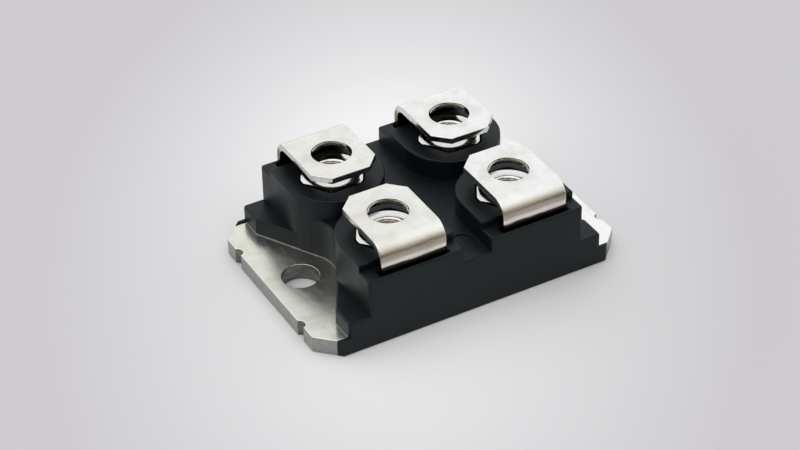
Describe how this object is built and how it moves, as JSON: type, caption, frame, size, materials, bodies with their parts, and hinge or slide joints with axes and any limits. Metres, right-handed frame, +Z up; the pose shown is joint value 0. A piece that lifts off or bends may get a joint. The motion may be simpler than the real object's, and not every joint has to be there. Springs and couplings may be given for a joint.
{
  "type": "power mosfet module",
  "caption": "Isolated power transistor module: nickel-plated baseplate with screw recesses, black moulded housing and bent screw-terminal tabs over captive hexagon nuts.",
  "frame": {"origin": "middle of the baseplate's underside", "axes": "+X along the length from the gate end to the drain end, +Y across the width away from the gate side, +Z up out of the baseplate"},
  "size_m": [0.038, 0.025, 0.012],
  "materials": {
    "plated_base": "satin nickel plate over copper",
    "plated_strip": "satin nickel plate over copper",
    "nut_steel": "bright plated steel",
    "housing_plastic": "fine moulded satin",
    "seal": "cured adhesive",
    "solder": "reflowed",
    "copper": "bare copper",
    "ceramic": "fired ceramic",
    "silicon": "metallised chip",
    "bond_wire": "drawn wire",
    "gel": "clear soft gel"
  },
  "bodies": {
    "root": {"baseplate": "plated_base", "base_seal": "seal", "housing": "housing_plastic", "drain_terminal": "plated_strip", "source_terminal": "plated_strip", "gate_terminal": "plated_strip", "aux_source_terminal": "plated_strip", "terminal_nuts": "nut_steel", "substrate_solder": "solder", "substrate_back_copper": "copper", "ceramic_tile": "ceramic", "drain_pad": "copper", "source_pad": "copper", "gate_pad": "copper", "aux_source_pad": "copper", "terminal_solder": "solder", "die_solder": "solder", "mosfet_die": "silicon", "source_wires": "bond_wire", "gate_wire": "bond_wire", "aux_source_wire": "bond_wire", "silicone_gel": "gel"}
  },
  "joints": []
}
